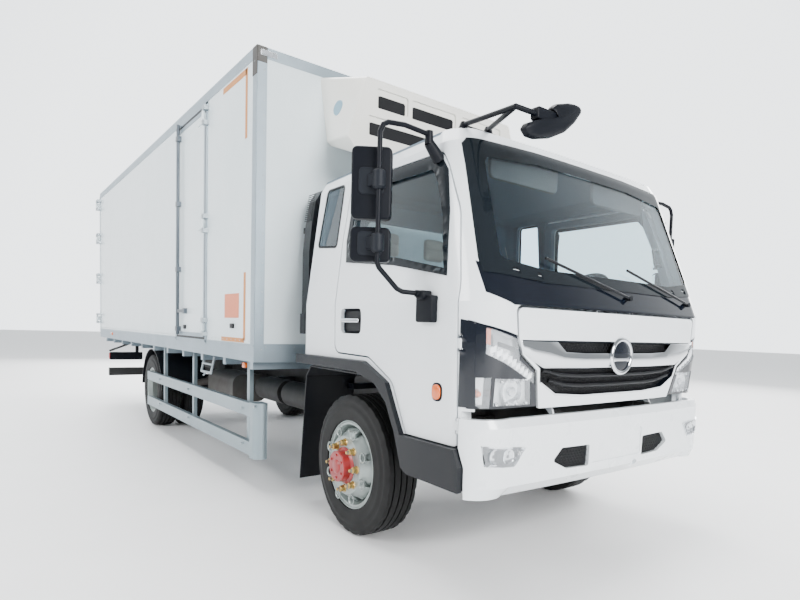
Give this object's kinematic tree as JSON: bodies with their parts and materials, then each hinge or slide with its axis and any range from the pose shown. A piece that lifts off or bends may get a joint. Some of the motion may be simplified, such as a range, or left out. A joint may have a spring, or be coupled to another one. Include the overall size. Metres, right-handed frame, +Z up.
{
  "type": "refrigerated truck",
  "caption": "Two-axle forward-control truck with a tilting cab, an insulated box body, a nose-mounted refrigeration unit and side and rear doors.",
  "frame": {"origin": "on the ground under the middle of the truck's length and width", "axes": "+X forward, +Y to the truck's left, +Z up"},
  "size_m": [8.523, 2.75, 3.1159],
  "materials": {
    "chassis_black": "satin black chassis paint",
    "cab_white": "gloss white cab enamel",
    "black_plastic": "grained black plastic",
    "gloss_black": "gloss black",
    "wheel_silver": "silver wheel paint",
    "rubber": "tyre rubber",
    "glass": "tinted glass",
    "lamp": "lamp lens and reflector",
    "box_white": "white composite panel skin",
    "aluminium": "extruded aluminium",
    "galvanised": "galvanised steel",
    "unit_cream": "moulded cream white",
    "seat_cloth": "seat cloth under plastic covers",
    "fascia_grey": "grained fascia",
    "engine_iron": "painted cast iron"
  },
  "bodies": {
    "chassis": {"frame_rails": "chassis_black", "frame_crossmembers": "chassis_black", "engine_block": "engine_iron", "front_axle_beam": "chassis_black", "rear_axle": "chassis_black", "leaf_springs": "chassis_black", "propshaft": "chassis_black", "cab_mounts": "chassis_black", "fuel_tank": "aluminium", "air_tanks": "aluminium", "exhaust_silencer": "chassis_black", "front_bumper": "cab_white", "fog_and_tail_lamps": "lamp", "front_mudguards": "black_plastic", "rear_mudguards": "black_plastic", "side_guards": "aluminium", "underrun_bar": "chassis_black", "air_snorkel": "black_plastic", "box_floor": "aluminium", "box_wall_left": "box_white", "box_wall_right": "box_white", "box_wall_front": "box_white", "box_roof": "box_white", "box_rear_frame": "aluminium", "box_hinge_pins": "galvanised", "refrigeration_unit": "unit_cream"},
    "cab": {"cab_shell": "cab_white", "cab_glass": "glass", "windscreen_cowl": "gloss_black", "headlamps": "lamp", "arch_trims": "black_plastic", "dashboard": "fascia_grey", "seats": "seat_cloth", "wipers": "black_plastic", "blind_spot_mirror": "black_plastic"},
    "steering_wheel": {"steering_wheel": "black_plastic"},
    "service_flap": {"front_panel": "cab_white", "front_grille": "gloss_black"},
    "cab_door_left": {"cab_door_left": "cab_white", "door_glass_left": "glass", "door_mirror_left": "black_plastic"},
    "cab_door_right": {"cab_door_right": "cab_white", "door_glass_right": "glass", "door_mirror_right": "black_plastic"},
    "knuckle_left": {"knuckle_left": "chassis_black"},
    "knuckle_right": {"knuckle_right": "chassis_black"},
    "front_wheel_left": {"front_wheel_left": "wheel_silver", "front_tyre_left": "rubber"},
    "front_wheel_right": {"front_wheel_right": "wheel_silver", "front_tyre_right": "rubber"},
    "rear_wheels_left": {"rear_wheels_left": "wheel_silver", "rear_tyres_left": "rubber"},
    "rear_wheels_right": {"rear_wheels_right": "wheel_silver", "rear_tyres_right": "rubber"},
    "rear_door_left": {"rear_door_left": "box_white", "rear_lock_left": "galvanised"},
    "rear_door_right": {"rear_door_right": "box_white", "rear_lock_right": "galvanised"},
    "side_door": {"side_door": "box_white", "side_lock": "galvanised"}
  },
  "joints": [
    {"name": "steer_right", "type": "hinge", "parent": "chassis", "child": "knuckle_right", "pos_m": [3.0115, -0.775, 0.419], "axis": [0, 0, 1], "range_deg": [-36, 36]},
    {"name": "steer_left", "type": "hinge", "parent": "chassis", "child": "knuckle_left", "pos_m": [3.0115, 0.775, 0.419], "axis": [0, 0, 1], "range_deg": [-36, 36]},
    {"name": "front_wheel_right_spin", "type": "hinge", "parent": "knuckle_right", "child": "front_wheel_right", "pos_m": [3.0115, -0.8775, 0.419], "axis": [0, 1, 0], "continuous": true},
    {"name": "front_wheel_left_spin", "type": "hinge", "parent": "knuckle_left", "child": "front_wheel_left", "pos_m": [3.0115, 0.8775, 0.419], "axis": [0, 1, 0], "continuous": true},
    {"name": "rear_wheels_right_spin", "type": "hinge", "parent": "chassis", "child": "rear_wheels_right", "pos_m": [-1.4885, -0.8275, 0.419], "axis": [0, 1, 0], "continuous": true},
    {"name": "rear_wheels_left_spin", "type": "hinge", "parent": "chassis", "child": "rear_wheels_left", "pos_m": [-1.4885, 0.8275, 0.419], "axis": [0, 1, 0], "continuous": true},
    {"name": "cab_tilt", "type": "hinge", "parent": "chassis", "child": "cab", "pos_m": [4.1115, 0, 0.82], "axis": [0, 1, 0], "range_deg": [0, 45]},
    {"name": "steering_wheel_turn", "type": "hinge", "parent": "cab", "child": "steering_wheel", "pos_m": [3.5715, 0.43, 1.42], "axis": [-0.6198, 0, 0.7848], "range_deg": [-720, 720]},
    {"name": "service_flap_lift", "type": "hinge", "parent": "cab", "child": "service_flap", "pos_m": [4.1445, 0, 1.41], "axis": [0, -1, 0], "range_deg": [0, 80]},
    {"name": "cab_door_left_swing", "type": "hinge", "parent": "cab", "child": "cab_door_left", "pos_m": [3.9965, 0.99, 1.1], "axis": [0, 0, -1], "range_deg": [0, 70]},
    {"name": "cab_door_right_swing", "type": "hinge", "parent": "cab", "child": "cab_door_right", "pos_m": [3.9965, -0.99, 1.1], "axis": [0, 0, 1], "range_deg": [0, 70]},
    {"name": "rear_door_left_swing", "type": "hinge", "parent": "chassis", "child": "rear_door_left", "pos_m": [-4.2485, 1.23, 2], "axis": [0, 0, -1], "range_deg": [0, 270]},
    {"name": "rear_door_right_swing", "type": "hinge", "parent": "chassis", "child": "rear_door_right", "pos_m": [-4.2485, -1.23, 2], "axis": [0, 0, 1], "range_deg": [0, 270]},
    {"name": "side_door_swing", "type": "hinge", "parent": "chassis", "child": "side_door", "pos_m": [0.9765, -1.23, 2], "axis": [0, 0, 1], "range_deg": [0, 180]}
  ],
  "couplings": [
    {"joint": "steer_left", "follows": "steer_right", "ratio": 1},
    {"joint": "steering_wheel_turn", "follows": "steer_right", "ratio": 20}
  ]
}
